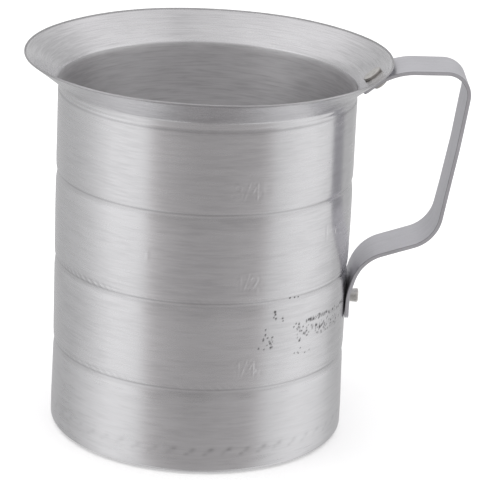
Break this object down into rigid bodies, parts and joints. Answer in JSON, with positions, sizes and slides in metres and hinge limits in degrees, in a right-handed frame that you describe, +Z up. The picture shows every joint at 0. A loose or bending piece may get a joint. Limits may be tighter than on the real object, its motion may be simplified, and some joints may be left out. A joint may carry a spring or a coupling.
{
  "type": "candle melting pot",
  "caption": "Tall cylindrical aluminium pouring pot with flared round lip, rolled fill-level grooves and a riveted bent strap handle, for melting wax.",
  "frame": {"origin": "on the pot's axis, at the underside of the flat base", "axes": "+Z up the pot's axis towards the open lip, +X from the axis towards the handle"},
  "size_m": [0.1901, 0.1576, 0.1671],
  "materials": {
    "spun_aluminium": "spun sheet, satin, fine circumferential lines and handling marks",
    "strap_aluminium": "matt rolled strap, fine lengthwise lines",
    "rivet_aluminium": "cold-headed, dull"
  },
  "bodies": {
    "root": {"pot_body": "spun_aluminium", "handle": "strap_aluminium", "upper_rivet": "rivet_aluminium", "lower_rivet": "rivet_aluminium"}
  },
  "joints": []
}
